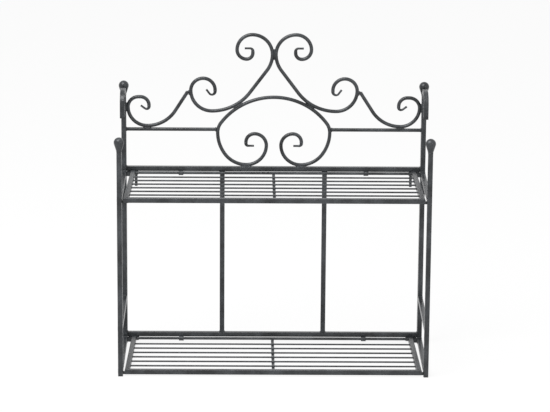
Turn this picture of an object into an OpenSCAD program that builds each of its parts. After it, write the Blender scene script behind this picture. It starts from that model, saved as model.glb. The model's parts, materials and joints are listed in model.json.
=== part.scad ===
// Folding two-tier plant stand of square steel tube with a scrolled crest.
// X runs to the right, Y to the back and Z up. The origin is on the floor,
// midway between the posts. Sizes are in millimetres.

/* [Stand] */
// Width over the posts
stand_w = 640; // [560:10:760]
// Depth over the posts
stand_d = 250; // [220:5:300]
// Height of the back posts, without their ball finials
back_post_h = 541; // [480:1:620]
// How far the front posts reach above the upper shelf's middle plane
front_post_rise = 101; // [60:1:140]
// Diameter of the ball finials
ball_d = 21; // [18:0.5:26]
// Height of a ball's centre above its post
ball_rise = 19; // [16:0.5:24]

/* [Tube] */
// Side of the square tube
tube = 10; // [9:0.5:12]
// Wall of the square tube
tube_wall = 1; // [0.8:0.1:1.5]
// Radius of the square tube's outer corners
corner_r = 1.2; // [0.5:0.1:1.5]
// Thickness of the plastic foot plugs under the posts
plug_t = 2; // [1.5:0.5:4]
// Length of a plug's or finial's stem inside its tube
stem_len = 10; // [6:1:16]
// Clearance of a stem in its tube, each side
stem_clearance = 0.1; // [0.05:0.05:0.3]

/* [Shelves] */
// Height of the lower shelf's middle plane
lower_shelf_z = 9; // [8:0.5:14]
// How far the upper shelf's middle plane is below the back posts' tops
upper_shelf_drop = 166.5; // [150:0.5:200]
// Height of a back rail's middle above its shelf's middle plane
rail_rise = 7; // [7:0.5:9]
// Gap between a shelf's back end and each side frame
shelf_side_gap = 9; // [6:0.5:14]
// How much closer a shelf's front corners come to the side frames
shelf_splay = 5.5; // [0:0.5:6]
// Gap between a raised shelf and the back frame
shelf_back_gap = 0.5; // [0.4:0.1:1.5]
// How far a shelf's front stays behind the posts' front faces
shelf_setback = 1; // [0:0.5:5]
// How far the shelf's side rails reach behind the pivot
shelf_overhang = 2; // [0:0.5:2.5]
// Number of shelf wires
wire_count = 6; // [4:1:9]
// Diameter of the shelf wires
wire_d = 3.5; // [2.5:0.5:4]
// How much wider the space behind the backmost wire is than the others
wire_setback = 19; // [0:1:30]
// Diameter of the pivot rod along the back of each shelf
rod_d = 6; // [5:0.5:7]
// Width of the strut under the wires
strut_w = 6; // [4:1:12]
// Thickness of the strut under the wires
strut_t = 4; // [3:0.5:5]

/* [Shelf clips] */
// Distance of a clip from the middle of the stand
clip_x = 195; // [120:5:240]
// Width of a clip
clip_w = 10; // [6:1:16]
// Wall of a clip around the rod
clip_wall = 2; // [1.5:0.25:2]
// Radial clearance of rods and pins in their bores
bore_clearance = 0.05; // [0.03:0.01:0.1]

/* [Side hinges] */
// Diameter of the hinge pins
pin_d = 6; // [4:0.5:6]
// Distance of a hinge pin inside the back post's inner face
pin_inset = 20; // [18:1:26]
// Length of the upper hinge pins
upper_pin_len = 33; // [16:1:45]
// Clearance between a lower hinge pin and the floor
pin_floor_gap = 2; // [1:0.5:3]
// Outer diameter of a hinge lug's eye
eye_d = 9; // [8.5:0.5:9]
// Height of a hinge lug
lug_h = 8; // [5:0.5:8]
// Gap between a hinge lug and the pieces that it passes
lug_gap = 1; // [0.8:0.1:1.5]
// Gap between a lug and the rail above it
lug_drop = 0.5; // [0.3:0.1:1]

/* [Side frames] */
// Height of the middle side rail above the lower one
middle_rail_rise = 92; // [60:1:180]
// Gap between a stile and the back post behind it
stile_gap = 1; // [0.6:0.1:2]
// Spacing of the two legs of the crook on a stile
crook_reach = 64; // [56:1:80]
// Bend radius of the crook
crook_r = 26; // [18:1:28]
// Height of the crook's top above the back posts
crook_rise = 21.5; // [10:0.5:60]
// Length of the crook's free leg below its bend
crook_leg = 22; // [10:1:60]
// How far the rests reach under a shelf's side rails
rest_len = 13; // [11:1:20]
// Width of the rests
rest_w = 12; // [8:1:20]
// Distance of the rests behind the front posts
rest_setback = 3; // [0:0.5:10]
// Thickness of the rests
rest_t = 3; // [2.5:0.5:5]
// Gap between a lowered shelf and its rests
rest_gap = 0.3; // [0.2:0.1:0.6]

/* [Crest] */
// Diameter of the scroll bars and crest rails
scroll_d = 7.5; // [6:0.5:8]
// Thickness of the scrolls' drawn-out ends, as a share of the bar's
scroll_tip = 0.58; // [0.4:0.02:1]
// Height of the crest rails' middle above the upper back rail
crest_rise = 80; // [76:1:90]
// Distance between the uprights' middles
upright_spacing = 216; // [160:2:300]

/* [Hidden] */
$fn = 40;

STEEL = [0.30, 0.31, 0.32];
PLASTIC = [0.07, 0.07, 0.07];

// How far a cutting shape runs past the piece that it cuts
over_cut = 1;

// Places across and along the stand
half_tube = tube / 2;
post_x = stand_w / 2 - half_tube;
inner_x = stand_w / 2 - tube;
post_y = stand_d / 2 - half_tube;
stile_y = post_y - tube - stile_gap;
axis_y = post_y - tube - shelf_back_gap;
shelf_x = inner_x - shelf_side_gap;
shelf_front_y = shelf_setback - stand_d / 2;
shelf_back_y = axis_y + shelf_overhang;
splay_angle = atan2(shelf_splay, shelf_back_y - shelf_front_y);
pin_x = inner_x - pin_inset;

// Heights of the shelves, rails and posts
upper_shelf_z = back_post_h - upper_shelf_drop;
front_post_h = upper_shelf_z + front_post_rise;
middle_rail_z = lower_shelf_z + middle_rail_rise;
crook_top = back_post_h + crook_rise;
upper_rail_z = upper_shelf_z + rail_rise;
lower_rail_z = lower_shelf_z + rail_rise;
upper_rail_top = upper_rail_z + half_tube;
crest_rail_z = upper_rail_top + crest_rise;

// Bends whose sine and cosine are short decimals, so that joined arcs meet exactly
TURN_A = atan2(3, 4);
TURN_B = atan2(4, 3);
TURN_C = atan2(527, 336);

// A bar's next bend starts this share short of the last one's end, so that they stay joined
LAP = 1e-7;

// The scrolls keep their proportions to the space between the back posts
unit = inner_x / 310;
scroll_r = scroll_d / 2;
crest_r = scroll_r / unit;

// Each bend is [radius, angle], and a straight run is [0, length]. A positive
// radius turns to the left of the way the bar runs and a negative one to the right.
// A run with a third value tapers to that share of the bar's thickness.
heart_up = [[-42, 90], [-32, 90], [-20, 90], [-13, 90], [0, 4, scroll_tip], [-6, 90], [0, 11]];
heart_down = [
    [57, TURN_A], [0, 59], [100, TURN_B],
    [44, 90], [26, 90], [25, 90], [0, 3, scroll_tip], [7, 90], [6, TURN_B], [0, 11]
];
heart_lead = heart_down[0][0];
heart_run = heart_down[1][1];
heart_sweep = heart_down[2][0];
heart_curl = heart_down[3][0];

oval_half = [[56, TURN_B], [79, TURN_A], [34, TURN_A], [139, TURN_B]];
oval_curl = [[-42, 90], [-25, 90], [-18, 90], [0, 3, scroll_tip], [-5, 90], [0, 12]];
oval_haunch = oval_half[1][0];
oval_flank = oval_half[2][0];
oval_crown = oval_half[3][0];

side_curl = [[40, 90], [22, 90], [0, 4], [18, 90], [0, 3, scroll_tip], [5, 90], [7, TURN_A], [0, 10]];
side_sweep = [-70, TURN_C];

// The oval stands on the upper rail, and its own rise gives the height of its crown
oval_rise = path_end(oval_half) * unit;
oval_foot = [-oval_rise[0], upper_rail_top + scroll_r];
oval_top_z = oval_foot[1] + oval_rise[1];
oval_side_z = oval_top_z - unit * (oval_crown * (1 - cos(TURN_B)) + oval_flank * cos(TURN_B));
oval_side_x = unit * (oval_crown * sin(TURN_B) + oval_flank * (1 - sin(TURN_B)));

// The heart scrolls touch each other at the middle and lie on the oval's crown
heart_centre = [
    scroll_r + unit * (heart_lead * (1 - cos(TURN_A)) + heart_run * cos(TURN_B) + heart_sweep * sin(TURN_B)),
    unit * (heart_sweep * cos(TURN_B) - heart_lead * sin(TURN_A) - heart_run * sin(TURN_B))
];
heart_reach = unit * (oval_crown + heart_sweep) + scroll_d;
heart_z = oval_top_z - unit * oval_crown - heart_centre[1] + sqrt(pow(heart_reach, 2) - pow(heart_centre[0], 2));
curl_centre = heart_centre + [0, heart_z + unit * (heart_curl - heart_sweep)];

// The side scrolls lie on the crest rails, touch the posts and run up to the heart scrolls
side_foot = [inner_x - scroll_r - unit * side_curl[0][0], crest_rail_z + scroll_d];
tail_start = side_foot - unit * side_sweep[0] * [-sin(TURN_C), 1 - cos(TURN_C)];
tail_way = [-cos(TURN_C), sin(TURN_C)];
tail_edge = tail_start + scroll_r * [-tail_way[1], tail_way[0]] - curl_centre;
tail_run = ray_to_circle(tail_edge, tail_way, unit * heart_curl + scroll_r) / unit;

// Where a path of bends ends, for a bar that starts at the origin along +X
function bend_end(b) = b[0] == 0 ? [b[1], 0] : [abs(b[0]) * sin(b[1]), b[0] * (1 - cos(b[1]))];
function bend_turn(b) = b[0] == 0 ? 0 : sign(b[0]) * b[1];
function turned(p, a) = [p[0] * cos(a) - p[1] * sin(a), p[0] * sin(a) + p[1] * cos(a)];
function path_end(bends, i = 0) =
    i == len(bends) ? [0, 0] : bend_end(bends[i]) + turned(path_end(bends, i + 1), bend_turn(bends[i]));

// How far out the oval's edge is at a height above its widest place
function oval_edge(rise) =
    rise < 0 ? oval_side_x - unit * oval_haunch + arc_x(unit * oval_haunch + scroll_r, rise)
    : rise < cos(TURN_B) * (unit * oval_flank + scroll_r)
        ? oval_side_x - unit * oval_flank + arc_x(unit * oval_flank + scroll_r, rise)
    : arc_x(unit * oval_crown + scroll_r, rise + oval_side_z - oval_top_z + unit * oval_crown);
function arc_x(r, rise) = sqrt(max(0, pow(r, 2) - pow(rise, 2)));

// Distance from p along the unit vector v to the circle of radius r around the origin
function ray_to_circle(p, v, r) = -p * v - sqrt(max(0, pow(p * v, 2) - p * p + r * r));

// One bend of round bar, from the origin along +X, turning towards +Y. A bend of
// less than a quarter turn is cut from a quarter, so that its end face is exact.
module bend(r, angle, bar_r) {
    reach = r + 2 * bar_r;
    translate([0, r]) rotate(-90) {
        if (angle < 90) {
            intersection() {
                rotate_extrude(angle = 90) translate([r, 0]) circle(r = bar_r);
                rotate(angle - 90) translate([0, 0, -reach]) cube([reach, reach, 2 * reach]);
            }
        } else {
            rotate_extrude(angle = angle) translate([r, 0]) circle(r = bar_r);
        }
    }
}

// A round bar that follows a list of bends and straight runs
module scroll_bar(bends, i = 0, share = 1) {
    if (i < len(bends)) {
        next = is_undef(bends[i][2]) ? share : bends[i][2];
        bar_r = crest_r * share;
        if (bends[i][0] == 0) {
            rotate([0, 90, 0]) cylinder(r1 = bar_r, r2 = crest_r * next, h = bends[i][1]);
        } else if (bends[i][0] > 0) {
            bend(bends[i][0], bends[i][1], bar_r);
        } else {
            mirror([0, 1, 0]) bend(-bends[i][0], bends[i][1], bar_r);
        }
        translate(bend_end(bends[i]) * (1 - LAP)) rotate(bend_turn(bends[i])) scroll_bar(bends, i + 1, next);
    }
}

// A scroll upright in the plane of the back posts: one half starts at [x, z] in
// the direction of angle and the other half starts there the opposite way
module crest_scroll(start, angle, half, other_half) {
    translate([start[0], post_y, start[1]]) rotate([90, 0, 0]) rotate(angle) scale(unit) {
        scroll_bar(half);
        rotate(180) scroll_bar(other_half);
    }
}

// Mirrors the right-hand shape to the left when side is -1
module on_side(side) {
    mirror([side < 0 ? 1 : 0, 0, 0]) children();
}

// Outline of the square tube
module tube_outline() {
    flat = tube - 2 * corner_r;
    square([tube, flat], center = true);
    square([flat, tube], center = true);
    for (x = [-1, 1], y = [-1, 1]) translate([x * flat / 2, y * flat / 2]) circle(corner_r);
}

module tube_bore() {
    square(tube - 2 * tube_wall, center = true);
}

// Open square tube along +Z from the origin
module square_tube(length) {
    linear_extrude(length) difference() {
        tube_outline();
        tube_bore();
    }
}

// Square tube along +X, from x0 to x1
module tube_across(x0, x1, y, z) {
    translate([x0, y, z]) rotate([0, 90, 0]) square_tube(x1 - x0);
}

// Square tube along +Y, from y0 to y1
module tube_along(y0, y1, x, z) {
    translate([x, y0, z]) rotate([-90, 0, 0]) square_tube(y1 - y0);
}

// Ball finial whose neck widens into the ball on a tangent cone
module finial() {
    r = ball_d / 2;
    reach = sqrt(pow(ball_rise, 2) + pow(half_tube, 2));
    angle = acos(r / reach) - atan2(ball_rise, half_tube);
    stem_d = tube - 2 * tube_wall - 2 * stem_clearance;
    union() {
        translate([0, 0, ball_rise]) sphere(d = ball_d);
        cylinder(r1 = half_tube, r2 = r * cos(angle), h = ball_rise + r * sin(angle));
        translate([0, 0, -stem_len]) cylinder(d = stem_d, h = stem_len + 1);
    }
}

// Plastic plug for a tube end: a flange below z = 0 and a stem above it
module tube_plug() {
    stem = tube - 2 * tube_wall - 2 * stem_clearance;
    union() {
        translate([0, 0, -plug_t]) linear_extrude(plug_t) tube_outline();
        translate([-stem / 2, -stem / 2, -1]) cube([stem, stem, stem_len + 1]);
    }
}

module post(x, y, height) {
    color(STEEL) translate([x, y, plug_t]) square_tube(height - plug_t);
}

module back_post(side) {
    on_side(side) post(post_x, post_y, back_post_h);
}

module back_finial(side) {
    color(STEEL) on_side(side) translate([post_x, post_y, back_post_h]) finial();
}

module back_rail(z) {
    color(STEEL) tube_across(-inner_x, inner_x, post_y, z);
}

module back_upright(side) {
    z0 = lower_rail_z + half_tube;
    z1 = upper_rail_z - half_tube;
    color(STEEL) on_side(side) translate([upright_spacing / 2, post_y, z0]) square_tube(z1 - z0);
}

// Round crest rail from the oval's flank to the back post
module crest_rail(side) {
    x0 = oval_edge(crest_rail_z - oval_side_z);
    color(STEEL) on_side(side) translate([x0, post_y, crest_rail_z]) rotate([0, 90, 0])
        cylinder(d = scroll_d, h = inner_x - x0);
}

// Oval bent from one bar, with both ends curled inwards over the upper rail
module crest_oval_scroll() {
    color(STEEL) for (side = [-1, 1]) on_side(side) crest_scroll(oval_foot, 180, oval_curl, oval_half);
}

// Heart scroll from its touching point, one half up and one half down
module crest_heart_scroll(side) {
    color(STEEL) on_side(side) crest_scroll([scroll_r, heart_z], 90, heart_up, heart_down);
}

// Side scroll from its foot on the crest rail: the curl and the tail
module crest_side_scroll(side) {
    tail = [side_sweep, [0, tail_run]];
    color(STEEL) on_side(side) crest_scroll(side_foot, 0, side_curl, tail);
}

// Clips on a back rail that hold the shelf's pivot rod
module shelf_clips(shelf_z) {
    bore_r = rod_d / 2 + bore_clearance;
    eye_r = bore_r + clip_wall;
    face_y = post_y - half_tube;
    top_z = shelf_z + rail_rise + half_tube;
    color(STEEL) for (side = [-1, 1]) translate([side * clip_x - clip_w / 2, 0, 0]) difference() {
        union() {
            translate([0, axis_y, shelf_z]) rotate([0, 90, 0]) cylinder(r = eye_r, h = clip_w);
            translate([0, face_y - clip_wall, shelf_z]) cube([clip_w, clip_wall, top_z - shelf_z]);
        }
        translate([-1, axis_y, shelf_z]) rotate([0, 90, 0]) cylinder(r = bore_r, h = clip_w + 2);
        translate([-1, face_y, shelf_z - eye_r - 1]) cube([clip_w + 2, eye_r, top_z]);
    }
}

// Pins that hang from both back rails and carry a side frame
module side_hinge_pins(side) {
    upper_z = upper_rail_z - half_tube;
    lower_z = lower_rail_z - half_tube;
    color(STEEL) on_side(side) {
        translate([pin_x, post_y, upper_z - upper_pin_len]) cylinder(d = pin_d, h = upper_pin_len);
        translate([pin_x, post_y, pin_floor_gap]) cylinder(d = pin_d, h = lower_z - pin_floor_gap);
    }
}

module foot_plug(x, y) {
    color(PLASTIC) translate([x, y, plug_t]) tube_plug();
}

module back_foot_plugs() {
    for (side = [-1, 1]) foot_plug(side * post_x, post_y);
}

module front_post(side) {
    on_side(side) post(post_x, -post_y, front_post_h);
}

module front_finial(side) {
    color(STEEL) on_side(side) translate([post_x, -post_y, front_post_h]) finial();
}

// Sweeps a square outline in the YZ plane, from the floor plug up, over and down.
// Both ends run past the crook's ends by over.
module along_crook(over) {
    spring_z = crook_top - half_tube - crook_r;
    translate([0, 0, plug_t - over]) linear_extrude(spring_z - plug_t + over) children();
    for (end = [0, 1]) translate([0, -end * crook_reach, spring_z]) mirror([0, end, 0])
        translate([0, -crook_r, 0]) rotate([90, 0, 90]) rotate_extrude(angle = 90)
            translate([crook_r, 0]) children();
    translate([0, -crook_r, spring_z + crook_r]) rotate([90, 0, 0])
        linear_extrude(crook_reach - 2 * crook_r) children();
    translate([0, -crook_reach, spring_z - crook_leg - over]) linear_extrude(crook_leg + over) children();
}

// Back upright of a side frame, bent over at the top into a crook
module stile(side) {
    color(STEEL) on_side(side) translate([post_x, stile_y, 0]) difference() {
        along_crook(0) tube_outline();
        along_crook(1) tube_bore();
    }
}

module crook_plug(side) {
    end_z = crook_top - half_tube - crook_r - crook_leg;
    color(PLASTIC) on_side(side) translate([post_x, stile_y - crook_reach, end_z]) tube_plug();
}

module side_rail(side, z) {
    color(STEEL) on_side(side) tube_along(half_tube - post_y, stile_y - half_tube, post_x, z);
}

// Rests under the side rails of a side frame, that carry both shelves near the front
module shelf_rests(side) {
    color(STEEL) on_side(side) for (shelf_z = [lower_shelf_z, upper_shelf_z]) {
        rail_bottom = shelf_z - half_tube;
        thickness = min(rest_t, rail_bottom - rest_gap - 0.5);
        translate([inner_x - rest_len, half_tube - post_y + rest_setback, rail_bottom - rest_gap - thickness])
            union() {
                cube([rest_len + tube - corner_r, rest_w, thickness]);
                translate([rest_len, 0, 0]) cube([tube - corner_r, rest_w, thickness + rest_gap]);
            }
    }
}

// Lug that reaches from a stile, around the shelf's back corner, to the hinge pin
module hinge_lug(top_z) {
    beside_x = shelf_x + lug_gap;
    clear_x = inner_x - lug_gap;
    eye_r = eye_d / 2;
    translate([0, 0, top_z - lug_h]) difference() {
        union() {
            translate([beside_x, stile_y - half_tube, 0]) cube([inner_x - beside_x, tube - 0.5, lug_h]);
            translate([beside_x, stile_y, 0]) cube([clear_x - beside_x, post_y + eye_r - stile_y, lug_h]);
            translate([pin_x, post_y - eye_r, 0]) cube([clear_x - pin_x, eye_d, lug_h]);
            translate([pin_x, post_y, 0]) cylinder(r = eye_r, h = lug_h);
        }
        translate([pin_x, post_y, -1]) cylinder(r = pin_d / 2 + bore_clearance, h = lug_h + 2);
    }
}

module hinge_lugs(side) {
    color(STEEL) on_side(side) {
        hinge_lug(lower_rail_z - half_tube - lug_drop);
        hinge_lug(upper_rail_z - half_tube - lug_drop);
    }
}

module side_foot_plugs(side) {
    on_side(side) {
        foot_plug(post_x, -post_y);
        foot_plug(post_x, stile_y);
    }
}

// Where the inner face of a shelf's side rail is, at a place along its depth
function shelf_inside(y) = shelf_x - tube / cos(splay_angle) + (shelf_back_y - y) * tan(splay_angle);

// Where a shelf's mitre line is, from its outer corner at 0 to its inner corner at 1
function mitre(share) = let(
    outer = [shelf_x + shelf_splay, shelf_front_y],
    inner = [shelf_inside(shelf_front_y + tube), shelf_front_y + tube]
) outer + share * (inner - outer);

// Front rail of a shelf, mitred at both corners
module shelf_front_rail(z) {
    outer = mitre(-over_cut / tube);
    inner = mitre(1 + over_cut / tube);
    color(STEEL) translate([0, 0, z]) intersection() {
        tube_across(-outer[0], outer[0], shelf_front_y + half_tube, 0);
        linear_extrude(2 * tube, center = true)
            polygon([[-outer[0], outer[1]], outer, inner, [-inner[0], inner[1]]]);
    }
}

// Side rail of a shelf, mitred at the front
module shelf_side_rail(side, z) {
    outer = mitre(-over_cut / tube);
    inner = mitre(1 + over_cut / tube);
    depth = shelf_back_y - shelf_front_y + 2 * tube;
    color(STEEL) on_side(side) translate([0, 0, z]) intersection() {
        translate([shelf_x, shelf_back_y]) rotate(splay_angle) tube_along(-depth, tube, -half_tube, 0);
        linear_extrude(2 * tube, center = true)
            polygon([outer, [outer[0], shelf_back_y], [shelf_x - 2 * tube, shelf_back_y], inner]);
    }
}

// Cuts bars that run across a shelf to the space between its side rails
module between_side_rails() {
    front_x = shelf_inside(shelf_front_y);
    back_x = shelf_inside(shelf_back_y);
    intersection() {
        children();
        linear_extrude(2 * tube, center = true) polygon([
            [-front_x, shelf_front_y], [front_x, shelf_front_y], [back_x, shelf_back_y], [-back_x, shelf_back_y]
        ]);
    }
}

module shelf_pivot_rod(z) {
    color(STEEL) translate([0, 0, z]) between_side_rails()
        translate([-shelf_x, axis_y]) rotate([0, 90, 0]) cylinder(d = rod_d, h = 2 * shelf_x);
}

// Wires at an even pitch before the front rail, with a wider space behind them
module shelf_wires(z) {
    pitch = (axis_y - shelf_front_y - half_tube - wire_setback) / (wire_count + 1);
    rise = half_tube - wire_d / 2 - 0.5;
    color(STEEL) for (i = [1 : wire_count]) translate([0, 0, z]) between_side_rails()
        translate([-shelf_x, axis_y - wire_setback - i * pitch, rise])
            rotate([0, 90, 0]) cylinder(d = wire_d, h = 2 * shelf_x, $fn = 24);
}

// Strut under the wires, coped over the pivot rod
module shelf_strut(z) {
    front_y = shelf_front_y + tube;
    top = half_tube - wire_d - 0.5;
    color(STEEL) difference() {
        translate([-strut_w / 2, front_y, z + top - strut_t]) cube([strut_w, axis_y - front_y, strut_t]);
        translate([-strut_w, axis_y, z]) rotate([0, 90, 0]) cylinder(d = rod_d, h = 2 * strut_w);
    }
}

back_post(-1);  // back_post_left
back_post(1);  // back_post_right
back_finial(-1);  // back_finial_left
back_finial(1);  // back_finial_right
back_rail(upper_rail_z);  // upper_back_rail
back_rail(lower_rail_z);  // lower_back_rail
back_upright(-1);  // back_upright_left
back_upright(1);  // back_upright_right
crest_rail(-1);  // crest_rail_left
crest_rail(1);  // crest_rail_right
crest_oval_scroll();
crest_heart_scroll(-1);  // crest_heart_scroll_left
crest_heart_scroll(1);  // crest_heart_scroll_right
crest_side_scroll(-1);  // crest_side_scroll_left
crest_side_scroll(1);  // crest_side_scroll_right
shelf_clips(upper_shelf_z);  // upper_shelf_clips
shelf_clips(lower_shelf_z);  // lower_shelf_clips
side_hinge_pins(-1);  // side_hinge_pins_left
side_hinge_pins(1);  // side_hinge_pins_right
back_foot_plugs();
front_post(-1);  // left_front_post
front_finial(-1);  // left_front_finial
stile(-1);  // left_stile
side_rail(-1, upper_shelf_z);  // left_upper_side_rail
side_rail(-1, middle_rail_z);  // left_middle_side_rail
side_rail(-1, lower_shelf_z);  // left_lower_side_rail
shelf_rests(-1);  // left_shelf_rests
hinge_lugs(-1);  // left_hinge_lugs
side_foot_plugs(-1);  // left_foot_plugs
crook_plug(-1);  // left_crook_plug
front_post(1);  // right_front_post
front_finial(1);  // right_front_finial
stile(1);  // right_stile
side_rail(1, upper_shelf_z);  // right_upper_side_rail
side_rail(1, middle_rail_z);  // right_middle_side_rail
side_rail(1, lower_shelf_z);  // right_lower_side_rail
shelf_rests(1);  // right_shelf_rests
hinge_lugs(1);  // right_hinge_lugs
side_foot_plugs(1);  // right_foot_plugs
crook_plug(1);  // right_crook_plug
shelf_front_rail(upper_shelf_z);  // upper_shelf_front_rail
shelf_side_rail(-1, upper_shelf_z);  // upper_shelf_side_rail_left
shelf_side_rail(1, upper_shelf_z);  // upper_shelf_side_rail_right
shelf_pivot_rod(upper_shelf_z);  // upper_shelf_pivot_rod
shelf_wires(upper_shelf_z);  // upper_shelf_wires
shelf_strut(upper_shelf_z);  // upper_shelf_strut
shelf_front_rail(lower_shelf_z);  // lower_shelf_front_rail
shelf_side_rail(-1, lower_shelf_z);  // lower_shelf_side_rail_left
shelf_side_rail(1, lower_shelf_z);  // lower_shelf_side_rail_right
shelf_pivot_rod(lower_shelf_z);  // lower_shelf_pivot_rod
shelf_wires(lower_shelf_z);  // lower_shelf_wires
shelf_strut(lower_shelf_z);  // lower_shelf_strut
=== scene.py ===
"""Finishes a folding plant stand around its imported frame: coat, welds, plugs and studio."""

import json
import math
import random

import bmesh
import bpy
from mathutils import Matrix, Vector


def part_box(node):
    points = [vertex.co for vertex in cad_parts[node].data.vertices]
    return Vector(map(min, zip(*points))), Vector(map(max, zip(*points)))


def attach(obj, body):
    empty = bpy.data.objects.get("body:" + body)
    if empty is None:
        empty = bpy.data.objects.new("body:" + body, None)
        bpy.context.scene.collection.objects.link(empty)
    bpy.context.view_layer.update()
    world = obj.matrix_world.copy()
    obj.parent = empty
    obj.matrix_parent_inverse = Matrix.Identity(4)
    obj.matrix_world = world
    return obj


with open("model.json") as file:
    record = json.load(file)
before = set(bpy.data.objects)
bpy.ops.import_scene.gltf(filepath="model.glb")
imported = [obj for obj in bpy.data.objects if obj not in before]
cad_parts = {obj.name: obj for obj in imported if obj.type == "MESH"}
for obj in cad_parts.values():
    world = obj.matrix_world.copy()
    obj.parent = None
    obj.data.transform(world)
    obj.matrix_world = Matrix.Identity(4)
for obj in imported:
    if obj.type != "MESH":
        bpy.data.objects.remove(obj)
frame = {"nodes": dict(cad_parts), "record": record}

bl_info = {
    "name": "Folding Plant Stand",
    "version": (1, 0, 0),
    "blender": (4, 5, 0),
    "location": "View3D > Sidebar > Plant Stand",
    "description": "Coats and welds a folding plant stand of square steel tube",
    "category": "Object",
}

MM = 0.001
NODES = frame["nodes"]
SLOT_OF = {part["node"]: part["material_slot"] for part in frame["record"]["subparts"]}
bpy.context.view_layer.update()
SIDES = ((-1, "left"), (1, "right"))
SHELVES = ("upper", "lower")

# Sizes that the part's boxes don't give, as its source has them
WIRES = 6
CLIP_W = 10 * MM
LUG_H = 8 * MM
BAR_R = 3.75 * MM

# How far beads stop short of an edge, how far in front of the middle of the crest's bars and
# behind it their beads lie, and the radius of the seam round a ball finial's neck
FLUSH = 0.6 * MM
GROOVE_Y = 2.7 * MM
SEAM_R = 4.9 * MM

# How deep beads and drops of spatter are sunk into what they lie on
SINK = 0.3 * MM
CLIP_SINK = 0.4 * MM
CORNER_SINK = 0.25 * MM
LUG_SINK = 0.2 * MM
WIRE_SINK = 0.2 * MM
STRUT_SINK = 0.5 * MM
DROP_SINK = 0.1 * MM

# How far beads reach down a clip, out along a rest and past the strut's edges, and how far in
# front of the stile's back the beads along a lug begin and end
CLIP_REACH = 8.5 * MM
REST_REACH = 8 * MM
STRUT_REACH = 0.6 * MM
LUG_REACH = (9.4 * MM, 1.2 * MM)

# How far inside a crest rail's outer and inner ends the beads round it lie, and how much
# thicker the inner bead and the beads beside the strut are than their sizes say
CREST_RAIL_BEADS = (0.4 * MM, 0.8 * MM)
INNER_SWELL = 1.4
STRUT_SWELL = 1.6

# Drops of spatter beside each joint of the crest. Twice as many scatter over the front of the
# back rail where the oval lies on it: how wide, and how far below the rail's top, in mm
DROPS = 7
FOOT_SPREAD = 7
FOOT_BAND = (0.8, 6)

# Share of the coat's depth of dimple that shows on a weld
WELD_DIMPLES = 0.5

# Seeds of the random draws. The second side frame and the second shelf take the next one.
BACK_SEED = 11
CREST_SEED = 17
SIDE_SEED = 21
SHELF_SEED = 41

# Where the two heart scrolls lie on each other, and their bead's half length and radius, in mm
HEARTS_MEET_Z = 627.5
HEARTS_HALF_BEAD = 11
HEARTS_BEAD_R = 1.4

# Where the bars of the right half of the crest lie on each other: x and z in mm, the way the
# joint runs in radians, the bead's length in mm and its radius in mm
CREST_JOINTS = (
    (57.4, 387.3, 0, 21, 1.7),
    (75.6, 518.15, math.radians(-32), 22, 1.4),
    (266.25, 470.25, 0, 17, 1.4),
    (309.2, 514.0, math.radians(90), 18, 1.3),
    (177.9, 543.2, math.radians(104), 5, 1.2),
)

# The weld that fills the wedge between a side scroll's tail and the heart scroll's curl: its
# x and z in mm, the way it runs in radians, and its half sizes in mm along, across and from
# front to back
TAIL_PUDDLE = (178.8, 547.4, math.radians(150), (3.8, 3.1, 3.3))

# Where the curls of the right half of the crest narrow, as the part's source has them: x and z
# in mm, the way the bar runs in degrees, and its bends as radius in mm and angle in degrees,
# or as 0 and a straight length
CURL_NECKS = (
    (58.4, 439.25, 270, ((0, 3), (-5, 90), (0, 12))),
    (44.75, 630.54, 90, ((0, 4), (-6, 90), (0, 11))),
    (123.55, 551.14, 270, ((0, 3), (7, 90), (6, 53.13), (0, 11))),
    (262.25, 518.0, 270, ((0, 3), (5, 90), (7, 36.87), (0, 10))),
)
# The sleeves over the necks: length, step and radius at both ends in mm, and number of sides
NECK_LENGTH = 15
NECK_STEP = 1.0
NECK_R = 3.78
TIP_R = 2.22
NECK_SIDES = 20

# The studio: the floor's radius and sides, the share of it that fades into the room, the place
# that the lamps point at, and the camera's sensor in mm
FLOOR_R = 9
FLOOR_SIDES = 64
FLOOR_FADE = 0.9
LAMP_AIM = (0, 0, 0.3)
SENSOR_W = 36
WHITE = (1, 1, 1, 1)


# ---- sizes read from the frame ----


def low(node):
    """Lowest corner of a CAD node."""
    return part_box(node)[0]


def high(node):
    """Highest corner of a CAD node."""
    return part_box(node)[1]


def middle(node):
    """Centre of a CAD node's box."""
    return (low(node) + high(node)) / 2


def mm(x, y, z):
    """A place that is given in millimetres."""
    return Vector((x, y, z)) * MM


# ---- colours and shader nodes ----


def linear(hex_value):
    """Turns an sRGB hex value such as "8A8D90" into the linear colour that shaders use."""
    channels = [int(hex_value[i : i + 2], 16) / 255 for i in (0, 2, 4)]
    return [c / 12.92 if c <= 0.04045 else ((c + 0.055) / 1.055) ** 2.4 for c in channels]


def add_node(tree, kind, settings=None, values=None, links=None):
    """Adds a shader node, sets its properties and socket values, and links its inputs."""
    node = tree.nodes.new(kind)
    for name, value in (settings or {}).items():
        setattr(node, name, value)
    for name, value in (values or {}).items():
        node.inputs[name].default_value = value
    for name, socket in (links or {}).items():
        tree.links.new(socket, node.inputs[name])
    return node


def new_material(name):
    """An empty node material, with its output node."""
    material = bpy.data.materials.new(name)
    material.use_nodes = True
    tree = material.node_tree
    tree.nodes.clear()
    return material, tree, add_node(tree, "ShaderNodeOutputMaterial")


def colour_ramp(tree, noise, *stops):
    """Turns a noise's height into colours between two stops: place and sRGB hex of each."""
    ramp = add_node(tree, "ShaderNodeValToRGB", links={"Fac": noise.outputs["Fac"]})
    for element, (position, hex_value) in zip(ramp.color_ramp.elements, stops):
        element.position = position
        element.color = (*linear(hex_value), 1)
    return ramp


def per_mm(size_mm):
    """Texture scale at which one cell or wave measures size_mm on Object coordinates."""
    return 1 / (size_mm * MM)


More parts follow.
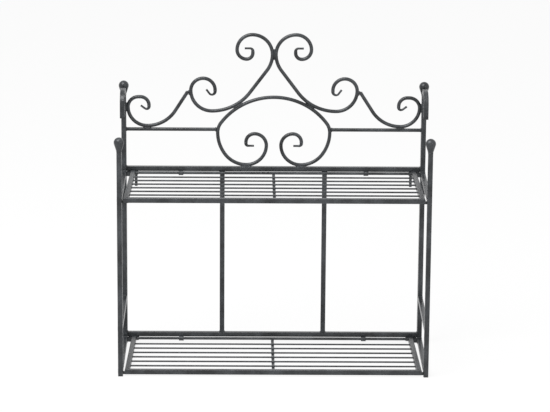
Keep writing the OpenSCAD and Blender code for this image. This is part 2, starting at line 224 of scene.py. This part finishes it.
def powder_coat(name, look, grain_depth):
    """Hammered pewter powder coat, sprayed and baked on steel tube.

    The eye gets a dark grey with a soft sheen that turns pale where it is seen at a
    low angle, small hammered dimples that break the sheen up, with painted shade in their
    floors and a painted highlight on their rims, and slow cloudy changes in depth where
    the spray was thicker.
    """
    material, tree, output = new_material(name)
    place = add_node(tree, "ShaderNodeTexCoord").outputs["Object"]
    cloud = add_node(
        tree,
        "ShaderNodeTexNoise",
        values={"Scale": per_mm(look.cloud_mm), "Detail": 3.0, "Roughness": 0.55},
        links={"Vector": place},
    )
    dimple = add_node(
        tree,
        "ShaderNodeTexVoronoi",
        {"feature": "SMOOTH_F1"},
        {"Scale": per_mm(look.dimple_mm), "Smoothness": 0.6, "Randomness": 1.0},
        {"Vector": place},
    )
    peel = add_node(
        tree,
        "ShaderNodeTexNoise",
        values={"Scale": per_mm(look.peel_mm), "Detail": 2.0, "Roughness": 0.5},
        links={"Vector": place},
    )
    tint = colour_ramp(tree, cloud, (0.36, look.coat_deep), (0.66, look.coat_pale))
    # Painted shade and highlight: each dimple's floor is painted darker and its rim lighter,
    # following the hammered bump.
    painted_dimple_shading = add_node(
        tree,
        "ShaderNodeMapRange",
        values={"From Min": 0.05, "From Max": 0.75, "To Min": 0.72, "To Max": 1.3},
        links={"Value": dimple.outputs["Distance"]},
    )
    colour = add_node(
        tree,
        "ShaderNodeVectorMath",
        {"operation": "SCALE"},
        links={0: tint.outputs["Color"], "Scale": painted_dimple_shading.outputs["Result"]},
    )
    gloss = add_node(
        tree,
        "ShaderNodeMapRange",
        values={
            "From Min": 0.3,
            "From Max": 0.7,
            "To Min": look.gloss_low,
            "To Max": look.gloss_high,
        },
        links={"Value": cloud.outputs["Fac"]},
    )
    hammered = add_node(
        tree,
        "ShaderNodeBump",
        values={"Strength": 0.9, "Distance": grain_depth * MM},
        links={"Height": dimple.outputs["Distance"]},
    )
    skin = add_node(
        tree,
        "ShaderNodeBump",
        values={"Strength": 0.35, "Distance": 0.12 * MM},
        links={"Height": peel.outputs["Fac"], "Normal": hammered.outputs["Normal"]},
    )
    shader = add_node(
        tree,
        "ShaderNodeBsdfPrincipled",
        values={
            "Metallic": look.flake,
            "IOR": 1.5,
            "Specular IOR Level": look.gleam,
            "Coat Weight": 0.15,
            "Coat Roughness": 0.2,
            "Coat IOR": 1.5,
        },
        links={
            "Base Color": colour.outputs["Vector"],
            "Roughness": gloss.outputs["Result"],
            "Normal": skin.outputs["Normal"],
        },
    )
    tree.links.new(shader.outputs["BSDF"], output.inputs["Surface"])
    return material


def black_polyethylene(name, look):
    """Moulded black polyethylene plugs: matt, slightly waxy, with a fine spark-eroded grain."""
    material, tree, output = new_material(name)
    place = add_node(tree, "ShaderNodeTexCoord").outputs["Object"]
    grain = add_node(
        tree,
        "ShaderNodeTexNoise",
        values={"Scale": per_mm(0.6), "Detail": 3.0, "Roughness": 0.6},
        links={"Vector": place},
    )
    scuff = add_node(
        tree,
        "ShaderNodeTexNoise",
        values={"Scale": per_mm(5.0), "Detail": 2.0, "Roughness": 0.6},
        links={"Vector": place},
    )
    tint = colour_ramp(tree, scuff, (0.42, look.plastic), (0.78, look.plastic_scuffed))
    bump = add_node(
        tree,
        "ShaderNodeBump",
        values={"Strength": 0.5, "Distance": 0.05 * MM},
        links={"Height": grain.outputs["Fac"]},
    )
    shader = add_node(
        tree,
        "ShaderNodeBsdfPrincipled",
        values={"Roughness": 0.55, "IOR": 1.51},
        links={"Base Color": tint.outputs["Color"], "Normal": bump.outputs["Normal"]},
    )
    tree.links.new(shader.outputs["BSDF"], output.inputs["Surface"])
    return material


# ---- bars and welds ----


def bridge_rings(mesh, points, radii, closed, sides):
    """Bridges circles along the points into one round bar or bead."""
    rings = []
    count = len(points)
    for i, (point, radius) in enumerate(zip(points, radii)):
        before = points[i - 1] if i or closed else point
        after = points[(i + 1) % count] if closed or i + 1 < count else point
        turn = (after - before).to_track_quat("Z", "Y").to_matrix().to_4x4()
        ring = bmesh.ops.create_circle(
            mesh,
            cap_ends=not closed and i in (0, count - 1),
            segments=sides,
            radius=radius,
            matrix=Matrix.Translation(point) @ turn,
        )["verts"]
        rings.append(
            {edge for vert in ring for edge in vert.link_edges if edge.other_vert(vert) in ring}
        )
    pairs = list(zip(rings, rings[1:]))
    if closed:
        pairs.append((rings[-1], rings[0]))
    for one, other in pairs:
        bmesh.ops.bridge_loops(mesh, edges=list(one | other))


def neck_path(x, z, heading, bends):
    """Places along a curl's neck and how far along each is, all in mm."""
    path, gone = [(x, z, 0.0)], 0.0
    heading = math.radians(heading)
    for radius, extent in bends:
        length = abs(radius) * math.radians(extent) if radius else extent
        steps = round(length / NECK_STEP)
        turn = math.copysign(math.radians(extent), radius) / steps if radius else 0.0
        for _ in range(steps):
            heading += turn / 2
            x += length / steps * math.cos(heading)
            z += length / steps * math.sin(heading)
            heading += turn / 2
            gone += length / steps
            path.append((x, z, gone))
    return [place for place in path if place[2] <= NECK_LENGTH]


def smooth_piece(name, mesh, material):
    """Makes an object with smooth faces from a mesh that is ready."""
    bmesh.ops.recalc_face_normals(mesh, faces=mesh.faces)
    for face in mesh.faces:
        face.smooth = True
    data = bpy.data.meshes.new(name)
    mesh.to_mesh(data)
    mesh.free()
    piece = bpy.data.objects.new(name, data)
    bpy.context.scene.collection.objects.link(piece)
    data.materials.append(bpy.data.materials[material])
    return piece


class WeldRun:
    """Lays ripple beads into one mesh that rides on one body."""

    SEGMENTS = 8
    # Shares of a bead's radius: between its ripples and on them, at its ends, and by chance
    RIPPLES = (0.88, 1.1)
    END = 0.45
    WOBBLE = (0.93, 1.07)
    # Shares of a drop's radius, by chance
    DROP_SIZES = (0.6, 1.2)
    # Fewest steps along a straight bead, and fewest ripples round a ring
    FEWEST_STEPS = 3
    FEWEST_RIPPLES = 4

    def __init__(self, name, body, sizes, seed):
        self.name = name
        self.body = body
        self.sizes = sizes
        self.mesh = bmesh.new()
        self.random = random.Random(seed)

    def sweep(self, points, radius, closed):
        """One bead along evenly spaced points, swollen at every second one."""
        radii = []
        for i in range(len(points)):
            swell = self.RIPPLES[i % 2]
            if not closed and i in (0, len(points) - 1):
                swell = self.END
            radii.append(radius * swell * self.random.uniform(*self.WOBBLE))
        bridge_rings(self.mesh, points, radii, closed, self.SEGMENTS)

    def puddle(self, place, along, half_sizes):
        """A smooth pool of weld, longest along one way."""
        turn = along.to_track_quat("X", "Y").to_matrix().to_4x4()
        bmesh.ops.create_icosphere(
            self.mesh,
            subdivisions=3,
            radius=1.0,
            matrix=Matrix.Translation(place) @ turn @ Matrix.Diagonal((*half_sizes, 1)),
        )

    def straight(self, start, end, radius):
        """A bead from start to end."""
        start, end = Vector(start), Vector(end)
        steps = max(self.FEWEST_STEPS, round((end - start).length / self.sizes.ripple))
        self.sweep([start.lerp(end, i / steps) for i in range(steps + 1)], radius, False)

    def ring(self, centre, axis, ring_radius, radius):
        """A bead all round a round bar, where it meets another piece."""
        centre, axis = Vector(centre), Vector(axis).normalized()
        start = axis.orthogonal().normalized() * ring_radius
        ripples = max(self.FEWEST_RIPPLES, round(math.pi * ring_radius / self.sizes.ripple))
        steps = 2 * ripples
        turns = (Matrix.Rotation(math.tau * i / steps, 3, axis) for i in range(steps))
        self.sweep([centre + turn @ start for turn in turns], radius, True)

    def drop(self, place, radius):
        """A drop of spatter that stuck beside a weld."""
        bmesh.ops.create_icosphere(
            self.mesh,
            subdivisions=1,
            radius=radius * self.random.uniform(*self.DROP_SIZES),
            matrix=Matrix.Translation(place),
        )

    def seam(self, place, top_z):
        """The seam where a ball finial's neck is welded to the top of its post."""
        self.ring((place.x, place.y, top_z), (0, 0, 1), SEAM_R, self.sizes.clip_bead)

    def finish(self):
        """Makes the object and hands it to its body."""
        piece = smooth_piece(self.name, self.mesh, "weld_powder_coat")
        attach(piece, self.body)


# ---- properties ----


class StandLook(bpy.types.PropertyGroup):
    """Colours and textures of the stand's finishes."""

    coat_deep: bpy.props.StringProperty(
        name="Coat, deep", description="sRGB hex of the coat where it is darkest", default="202224"
    )
    coat_pale: bpy.props.StringProperty(
        name="Coat, pale", description="sRGB hex of the coat where it is palest", default="3A3D40"
    )
    plastic: bpy.props.StringProperty(
        name="Plug plastic", description="sRGB hex of the moulded plugs", default="17181A"
    )
    plastic_scuffed: bpy.props.StringProperty(
        name="Scuffed plastic",
        description="sRGB hex of the plugs where they are scuffed",
        default="2E2F31",
    )
    flake: bpy.props.FloatProperty(
        name="Flake",
        description="Share of metallic flake in the coat",
        default=0.2,
        min=0,
        max=1,
        subtype="FACTOR",
    )
    gleam: bpy.props.FloatProperty(
        name="Gleam",
        description="How strongly the resin under the coat's skin mirrors",
        default=0.42,
        min=0,
        max=1,
    )
    gloss_low: bpy.props.FloatProperty(
        name="Roughness, glossy",
        description="Roughness where the coat is glossiest",
        default=0.27,
        min=0,
        max=1,
    )
    gloss_high: bpy.props.FloatProperty(
        name="Roughness, dull",
        description="Roughness where the coat is dullest",
        default=0.4,
        min=0,
        max=1,
    )
    dimple_mm: bpy.props.FloatProperty(
        name="Dimple",
        description="Width of a hammered dimple in millimetres",
        default=3.4,
        min=0.5,
        max=10,
    )
    peel_mm: bpy.props.FloatProperty(
        name="Orange peel",
        description="Width of the coat's fine waves in millimetres",
        default=0.9,
        min=0.2,
        max=5,
    )
    cloud_mm: bpy.props.FloatProperty(
        name="Cloud",
        description="Width of the coat's cloudy patches in millimetres",
        default=38,
        min=5,
        max=200,
    )
    dimple_depth: bpy.props.FloatProperty(
        name="Dimple depth",
        description="Depth of a hammered dimple in millimetres",
        default=0.35,
        min=0,
        max=1,
    )


class WeldSizes(bpy.types.PropertyGroup):
    """Sizes of the weld beads."""

    ripple: bpy.props.FloatProperty(
        name="Ripple",
        description="Half the pitch of a bead's ripples",
        default=0.0008,
        min=0.0003,
        unit="LENGTH",
    )
    tube_bead: bpy.props.FloatProperty(
        name="Tube bead",
        description="Radius of the beads between tubes",
        default=0.0012,
        min=0.0004,
        unit="LENGTH",
    )
    clip_bead: bpy.props.FloatProperty(
        name="Clip bead",
        description="Radius of the beads at clips, rests and lugs",
        default=0.0008,
        min=0.0003,
        unit="LENGTH",
    )
    corner_bead: bpy.props.FloatProperty(
        name="Corner bead",
        description="Radius of the beads at shelf corners",
        default=0.0006,
        min=0.0002,
        unit="LENGTH",
    )
    drop: bpy.props.FloatProperty(
        name="Drop",
        description="Radius of a drop of spatter",
        default=0.0005,
        min=0.0002,
        unit="LENGTH",
    )
    bar_bead: bpy.props.FloatProperty(
        name="Bar bead",
        description="Radius of the beads round bars",
        default=0.0009,
        min=0.0003,
        unit="LENGTH",
    )
    wire_bead: bpy.props.FloatProperty(
        name="Wire bead",
        description="Radius of the beads round shelf wires",
        default=0.0006,
        min=0.0002,
        unit="LENGTH",
    )


class StudioSettings(bpy.types.PropertyGroup):
    """Floor, lamps and camera of the studio."""

    floor: bpy.props.StringProperty(
        name="Floor", description="sRGB hex of the studio floor", default="FFFFFF"
    )
    ambient: bpy.props.FloatProperty(
        name="Ambient",
        description="Brightness of the room round the object",
        default=0.5,
        min=0,
        max=2,
    )
    key_power: bpy.props.FloatProperty(
        name="Key lamp",
        description="Power of the large lamp overhead",
        default=118,
        min=0,
        unit="POWER",
    )
    fill_power: bpy.props.FloatProperty(
        name="Fill lamp",
        description="Power of the lamp beside the camera",
        default=14,
        min=0,
        unit="POWER",
    )
    camera_place: bpy.props.FloatVectorProperty(
        name="Camera place",
        description="Where the camera stands",
        default=(-0.0623, -5.5753, 1.8037),
        unit="LENGTH",
    )
    camera_pitch: bpy.props.FloatProperty(
        name="Camera pitch",
        description="How far the camera looks down",
        default=math.radians(14.788),
        unit="ROTATION",
    )
    camera_yaw: bpy.props.FloatProperty(
        name="Camera yaw",
        description="How far the camera turns left",
        default=math.radians(-0.665),
        unit="ROTATION",
    )
    camera_roll: bpy.props.FloatProperty(
        name="Camera roll",
        description="How far the camera leans",
        default=math.radians(0.414),
        unit="ROTATION",
    )
    camera_lens: bpy.props.FloatProperty(
        name="Camera lens",
        description="Focal length on a 36 mm sensor",
        default=181.84,
        min=20,
        unit="CAMERA",
    )


# ---- operators ----


class STAND_OT_coat_nodes(bpy.types.Operator):
    """Gives every CAD node its powder coat or plastic"""

    bl_idname = "stand.coat_nodes"
    bl_label = "Coat the Stand"

    def execute(self, context):
        look = context.scene.stand_look
        coat = powder_coat("pewter_powder_coat", look, look.dimple_depth)
        powder_coat("weld_powder_coat", look, WELD_DIMPLES * look.dimple_depth)
        plastic = black_polyethylene("black_polyethylene", look)
        finish = {"powder_coated_steel": coat, "plastic_plugs": plastic}
        for name, node in NODES.items():
            node.data.materials.clear()
            node.data.materials.append(finish[SLOT_OF[name]])
        return {"FINISHED"}


class STAND_OT_back_frame_welds(bpy.types.Operator):
    """Welds the rails, uprights, clips and finials of the back frame"""

    bl_idname = "stand.back_frame_welds"
    bl_label = "Weld the Back Frame"

    def execute(self, context):
        sizes = context.scene.stand_welds
        run = WeldRun("back_frame_welds", "back_frame", sizes, BACK_SEED)
        bead = sizes.tube_bead
        for rail in ("upper_back_rail", "lower_back_rail"):
            lo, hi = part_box(rail)
            for x in (lo.x, hi.x):
                run.straight((x, lo.y + FLUSH, hi.z), (x, hi.y - FLUSH, hi.z), bead)
                for y in (lo.y + FLUSH, hi.y - FLUSH):
                    run.straight((x, y, lo.z + bead), (x, y, hi.z), bead)
        for _, side in SIDES:
            lo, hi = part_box("back_upright_" + side)
            for z in (lo.z, hi.z):
                for x in (lo.x, hi.x):
                    run.straight((x, lo.y + FLUSH, z), (x, hi.y, z), bead)
                run.straight((lo.x, hi.y - FLUSH, z), (hi.x, hi.y - FLUSH, z), bead)
            post = "back_post_" + side
            run.seam(middle(post), high(post).z)
        for shelf in SHELVES:
            self.weld_clips(run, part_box(shelf + "_shelf_clips"))
        run.finish()
        return {"FINISHED"}

    @staticmethod
    def weld_clips(run, box):
        """Beads down both sides of each clip, where it lies on the rail."""
        lo, hi = box
        bead = run.sizes.clip_bead
        y = hi.y - CLIP_SINK
        for x in (lo.x, lo.x + CLIP_W, hi.x - CLIP_W, hi.x):
            run.straight((x, y, hi.z - CLIP_REACH), (x, y, hi.z - MM), bead)
        for x in (lo.x, hi.x - CLIP_W):
            run.straight((x + MM, y - MM, hi.z), (x + CLIP_W - MM, y - MM, hi.z), bead)


class STAND_OT_crest_welds(bpy.types.Operator):
    """Welds the scrolls and the crest rails"""

    bl_idname = "stand.crest_welds"
    bl_label = "Weld the Crest"

    def execute(self, context):
        run = WeldRun("crest_welds", "back_frame", context.scene.stand_welds, CREST_SEED)
        plane = middle("crest_oval_scroll").y
        for sign, side in SIDES:
            for x, z, lean, length, radius in CREST_JOINTS:
                along = Vector((sign * math.cos(lean), 0, math.sin(lean))) * length * MM / 2
                place = Vector((sign * x * MM, plane, z * MM))
                self.groove(run, place, along, radius * MM)
            x, z, lean, half_sizes = TAIL_PUDDLE
            along = Vector((sign * math.cos(lean), 0, math.sin(lean)))
            run.puddle(Vector((sign * x * MM, plane, z * MM)), along, Vector(half_sizes) * MM)
            self.scatter(run, sign * CREST_JOINTS[0][0] * MM)
            self.weld_rail(run, sign, "crest_rail_" + side, plane)
        meeting = Vector((0, plane, HEARTS_MEET_Z * MM))
        self.groove(run, meeting, mm(0, 0, HEARTS_HALF_BEAD), HEARTS_BEAD_R * MM)
        run.finish()
        return {"FINISHED"}

    @staticmethod
    def scatter(run, x):
        """Spatter over the front of the back rail, where the oval lies on it."""
        lo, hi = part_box("upper_back_rail")
        for _ in range(2 * DROPS):
            drop_x = x + run.random.gauss(0, FOOT_SPREAD) * MM
            drop_z = hi.z - run.random.uniform(*FOOT_BAND) * MM
            run.drop(Vector((drop_x, lo.y + DROP_SINK, drop_z)), run.sizes.drop)

    @staticmethod
    def weld_rail(run, sign, rail, plane):
        """A bead round each end of a crest rail."""
        z = middle(rail).z
        bar_r = (high(rail).z - low(rail).z) / 2
        outer, inner = sorted((low(rail).x, high(rail).x), key=abs, reverse=True)
        outer -= sign * CREST_RAIL_BEADS[0]
        inner += sign * CREST_RAIL_BEADS[1]
        bead = run.sizes.bar_bead
        run.ring((outer, plane, z), (1, 0, 0), bar_r, bead)
        run.ring((inner, plane, z), (1, 0, 0), bar_r - SINK, INNER_SWELL * bead)

    @staticmethod
    def groove(run, place, along, radius):
        """A bead in front and one behind, in the groove where a bar lies on another piece."""
        for y in (-GROOVE_Y, GROOVE_Y):
            middle_of_bead = place + Vector((0, y, 0))
            run.straight(middle_of_bead - along, middle_of_bead + along, radius)
        across = along.cross(Vector((0, 1, 0))).normalized() * BAR_R
        for _ in range(DROPS):
            spot = place + along * run.random.uniform(-1, 1) + across * run.random.choice((-1, 1))
            run.drop(spot - Vector((0, BAR_R - DROP_SINK, 0)), run.sizes.drop)


class STAND_OT_curl_necks(bpy.types.Operator):
    """Draws the curls' necks out, so that their bars narrow gradually"""

    bl_idname = "stand.curl_necks"
    bl_label = "Draw Out the Curls"

    def execute(self, context):
        mesh = bmesh.new()
        plane = middle("crest_oval_scroll").y
        for sign, _ in SIDES:
            for neck in CURL_NECKS:
                path = neck_path(*neck)
                points = [Vector((sign * x * MM, plane, z * MM)) for x, z, _ in path]
                radii = [self.radius(gone / path[-1][2]) * MM for _, _, gone in path]
                bridge_rings(mesh, points, radii, False, NECK_SIDES)
        piece = smooth_piece("crest_curl_necks", mesh, "pewter_powder_coat")
        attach(piece, "back_frame")
        return {"FINISHED"}

    @staticmethod
    def radius(share):
        """The neck's radius in mm, easing from the bar's to the tip's."""
        ease = share * share * (3 - 2 * share)
        return NECK_R + (TIP_R - NECK_R) * ease


class STAND_OT_side_frame_welds(bpy.types.Operator):
    """Welds the rails, rests, lugs and finials of both side frames"""

    bl_idname = "stand.side_frame_welds"
    bl_label = "Weld the Side Frames"

    def execute(self, context):
        for seed, (sign, side) in enumerate(SIDES, SIDE_SEED):
            body = side + "_side_frame"
            run = WeldRun(body + "_welds", body, context.scene.stand_welds, seed)
            self.weld_rails(run, sign, side)
            self.weld_rests(run, sign, side)
            self.weld_lugs(run, sign, side)
            post = side + "_front_post"
            run.seam(middle(post), high(post).z)
            run.finish()
        return {"FINISHED"}

    @staticmethod
    def weld_rails(run, sign, side):
        """Beads over, under and outside the rails' ends. The shelves pass close inside."""
        bead = run.sizes.tube_bead
        for rail in ("upper", "middle", "lower"):
            lo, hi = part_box(side + "_" + rail + "_side_rail")
            outer_x = (hi.x if sign > 0 else lo.x) - sign * FLUSH
            for y in (lo.y, hi.y):
                run.straight((lo.x + FLUSH, y, hi.z), (hi.x - FLUSH, y, hi.z), bead)
                run.straight((outer_x, y, lo.z), (outer_x, y, hi.z), bead)
                if rail != "lower":
                    run.straight((lo.x + FLUSH, y, lo.z), (hi.x - FLUSH, y, lo.z), bead)

    @staticmethod
    def weld_rests(run, sign, side):
        """Beads round each rest, where it lies under its side rail."""
        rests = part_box(side + "_shelf_rests")
        bead = run.sizes.clip_bead
        for shelf in SHELVES:
            lo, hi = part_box(side + "_" + shelf + "_side_rail")
            inner_x = lo.x if sign > 0 else hi.x
            run.straight((inner_x, rests[0].y + MM, lo.z), (inner_x, rests[1].y - MM, lo.z), bead)
            for y in (rests[0].y, rests[1].y):
                ends = inner_x + sign * MM, inner_x + sign * REST_REACH
                run.straight((ends[0], y, lo.z), (ends[1], y, lo.z), bead)

    @staticmethod
    def weld_lugs(run, sign, side):
        """Beads over and under each lug, where it leaves the stile."""
        lugs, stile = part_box(side + "_hinge_lugs"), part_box(side + "_stile")
        x = (stile[0].x if sign > 0 else stile[1].x) - sign * SINK
        front, rear = (stile[1].y - reach for reach in LUG_REACH)
        bead = run.sizes.clip_bead
        for z in (lugs[0].z + LUG_H, lugs[1].z - LUG_H, lugs[1].z - LUG_SINK):
            run.straight((x, front, z), (x, rear, z), bead)


class STAND_OT_shelf_welds(bpy.types.Operator):
    """Welds the corners, wires, rods and struts of both shelves"""

    bl_idname = "stand.shelf_welds"
    bl_label = "Weld the Shelves"

    def execute(self, context):
        for seed, shelf in enumerate(SHELVES, SHELF_SEED):
            body = shelf + "_shelf"
            run = WeldRun(body + "_welds", body, context.scene.stand_welds, seed)
            self.weld_corners(run, body)
            self.weld_wires(run, body)
            self.weld_strut(run, body)
            run.finish()
        return {"FINISHED"}

    @staticmethod
    def inside_x(body, y):
        """Where the right side rail's inner face is at y. The rails splay out to the front."""
        rod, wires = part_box(body + "_pivot_rod"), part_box(body + "_wires")
        splay = (wires[1].x - rod[1].x) / (rod[0].y - wires[0].y)
        return rod[1].x + splay * (rod[0].y - y)

    def weld_corners(self, run, body):
        """A ground bead over each mitre and one down its corner."""
        lo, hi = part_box(body + "_front_rail")
        inner_x = self.inside_x(body, hi.y)
        bead = run.sizes.corner_bead
        for sign in (-1, 1):
            x = sign * hi.x
            top = hi.z - CORNER_SINK
            run.straight((x - sign * MM, lo.y + MM, top), (sign * inner_x, hi.y, top), bead)
            x -= sign * SINK
            y = lo.y + SINK
            run.straight((x, y, lo.z + MM), (x, y, hi.z - MM), bead)

    def weld_wires(self, run, body):
        """A bead round each end of the wires and of the rod, and beside the wires at the strut."""
        sizes = run.sizes
        rod, wires, strut = (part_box(body + node) for node in ("_pivot_rod", "_wires", "_strut"))
        wire_r = (wires[1].z - wires[0].z) / 2
        rod_r = (rod[1].z - rod[0].z) / 2
        first, last = wires[0].y + wire_r, wires[1].y - wire_r
        rows = [first + (last - first) * i / (WIRES - 1) for i in range(WIRES)]
        rod_y, rod_z = (rod[0].y + rod[1].y) / 2, (rod[0].z + rod[1].z) / 2
        ends = strut[0].x - STRUT_REACH, strut[1].x + STRUT_REACH
        z = wires[0].z + STRUT_SINK
        for sign in (-1, 1):
            x = sign * (rod[1].x - SINK)
            run.ring((x, rod_y, rod_z), (1, 0, 0), rod_r, sizes.bar_bead)
            for y in rows:
                x = sign * (self.inside_x(body, y) - SINK)
                run.ring((x, y, wires[0].z + wire_r), (1, 0, 0), wire_r, sizes.wire_bead)
                beside = y + sign * (wire_r - WIRE_SINK)
                bead = STRUT_SWELL * sizes.wire_bead
                run.straight((ends[0], beside, z), (ends[1], beside, z), bead)

    @staticmethod
    def weld_strut(run, body):
        """Beads across both ends of the strut."""
        (x0, y0, z0), (x1, y1, z1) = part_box(body + "_strut")
        for y, z in ((y0 + SINK, z1), (y0 + SINK, z0), (y1 - FLUSH, z1)):
            run.straight((x0, y, z), (x1, y, z), run.sizes.clip_bead)


class STAND_OT_studio(bpy.types.Operator):
    """Makes the floor, the lamps, the room and the camera"""

    bl_idname = "stand.studio"
    bl_label = "Set Up the Studio"

    def execute(self, context):
        studio = context.scene.stand_studio
        scene = context.scene
        self.make_floor(studio)
        self.make_room(scene, studio)
        self.make_lamps(scene, studio)
        self.make_camera(scene, studio)
        scene.view_settings.view_transform = "Standard"
        return {"FINISHED"}

    @staticmethod
    def seen_white(tree):
        """1 for rays that the viewer sees the room by: camera, glossy and transmission rays."""
        path = add_node(tree, "ShaderNodeLightPath")
        either = add_node(
            tree,
            "ShaderNodeMath",
            {"operation": "MAXIMUM"},
            links={0: path.outputs["Is Camera Ray"], 1: path.outputs["Is Glossy Ray"]},
        )
        return add_node(
            tree,
            "ShaderNodeMath",
            {"operation": "MAXIMUM"},
            links={0: either.outputs[0], 1: path.outputs["Is Transmission Ray"]},
        ).outputs[0]

    def make_floor(self, studio):
        """A wide matt floor that keeps a soft shadow and fades into the white room."""
        mesh = bmesh.new()
        bmesh.ops.create_circle(mesh, cap_ends=True, segments=FLOOR_SIDES, radius=FLOOR_R)
        data = bpy.data.meshes.new("studio_floor")
        mesh.to_mesh(data)
        mesh.free()
        floor = bpy.data.objects.new("studio_floor", data)
        bpy.context.scene.collection.objects.link(floor)
        material, tree, output = new_material("studio_floor_paint")
        matt = add_node(tree, "ShaderNodeBsdfDiffuse", values={"Color": (*linear(studio.floor), 1)})
        white = add_node(tree, "ShaderNodeEmission", values={"Color": WHITE, "Strength": 1.0})
        share = add_node(
            tree,
            "ShaderNodeMath",
            {"operation": "MULTIPLY"},
            {1: FLOOR_FADE},
            {0: self.seen_white(tree)},
        )
        mix = add_node(
            tree,
            "ShaderNodeMixShader",
            links={0: share.outputs[0], 1: matt.outputs[0], 2: white.outputs[0]},
        )
        tree.links.new(mix.outputs[0], output.inputs["Surface"])
        data.materials.append(material)

    def make_room(self, scene, studio):
        """White to the eye, and a softer ambient light on the object."""
        world = bpy.data.worlds.new("studio_room")
        world.use_nodes = True
        tree = world.node_tree
        tree.nodes.clear()
        output = add_node(tree, "ShaderNodeOutputWorld")
        ambient = add_node(
            tree, "ShaderNodeBackground", values={"Color": WHITE, "Strength": studio.ambient}
        )
        white = add_node(tree, "ShaderNodeBackground", values={"Color": WHITE, "Strength": 1.0})
        mix = add_node(
            tree,
            "ShaderNodeMixShader",
            links={0: self.seen_white(tree), 1: ambient.outputs[0], 2: white.outputs[0]},
        )
        tree.links.new(mix.outputs[0], output.inputs["Surface"])
        scene.world = world

    def make_lamps(self, scene, studio):
        """One large lamp overhead to the left, one small one beside the camera."""
        # Name, place and diameter in metres, and power of each
        lamps = (
            ("key_lamp", (-1.2, -1.4, 3.2), 2.6, studio.key_power),
            ("fill_lamp", (2.4, -3.0, 1.6), 1.8, studio.fill_power),
        )
        for name, place, size, power in lamps:
            light = bpy.data.lights.new(name, "AREA")
            light.shape = "DISK"
            light.size = size
            light.energy = power
            lamp = bpy.data.objects.new(name, light)
            scene.collection.objects.link(lamp)
            lamp.location = place
            aim = Vector(LAMP_AIM) - Vector(place)
            lamp.rotation_euler = aim.to_track_quat("-Z", "Y").to_euler()

    def make_camera(self, scene, studio):
        """A long lens far in front, looking a little down."""
        data = bpy.data.cameras.new("studio_camera")
        data.lens = studio.camera_lens
        data.sensor_width = SENSOR_W
        camera = bpy.data.objects.new("studio_camera", data)
        scene.collection.objects.link(camera)
        camera.matrix_world = (
            Matrix.Translation(studio.camera_place)
            @ Matrix.Rotation(studio.camera_yaw, 4, "Z")
            @ Matrix.Rotation(math.pi / 2 - studio.camera_pitch, 4, "X")
            @ Matrix.Rotation(studio.camera_roll, 4, "Z")
        )
        scene.camera = camera


class STAND_PT_panel(bpy.types.Panel):
    """Lists the steps that finish the stand"""

    bl_idname = "STAND_PT_panel"
    bl_label = "Plant Stand"
    bl_space_type = "VIEW_3D"
    bl_region_type = "UI"
    bl_category = "Plant Stand"

    def draw(self, context):
        layout = self.layout
        for operator in STEPS:
            layout.operator(operator.bl_idname)


STEPS = (
    STAND_OT_coat_nodes,
    STAND_OT_back_frame_welds,
    STAND_OT_crest_welds,
    STAND_OT_curl_necks,
    STAND_OT_side_frame_welds,
    STAND_OT_shelf_welds,
    STAND_OT_studio,
)
SETTINGS = {"stand_look": StandLook, "stand_welds": WeldSizes, "stand_studio": StudioSettings}


def register():
    """Registers the settings, the steps and the panel."""
    for name, group in SETTINGS.items():
        bpy.utils.register_class(group)
        setattr(bpy.types.Scene, name, bpy.props.PointerProperty(type=group))
    for cls in (*STEPS, STAND_PT_panel):
        bpy.utils.register_class(cls)


def unregister():
    """Takes them all out again."""
    for cls in (STAND_PT_panel, *reversed(STEPS)):
        bpy.utils.unregister_class(cls)
    for name, group in SETTINGS.items():
        delattr(bpy.types.Scene, name)
        bpy.utils.unregister_class(group)


def main():
    """Runs every step."""
    register()
    for operator in STEPS:
        group, _, step = operator.bl_idname.partition(".")
        getattr(getattr(bpy.ops, group), step)()


if __name__ == "__main__":
    main()
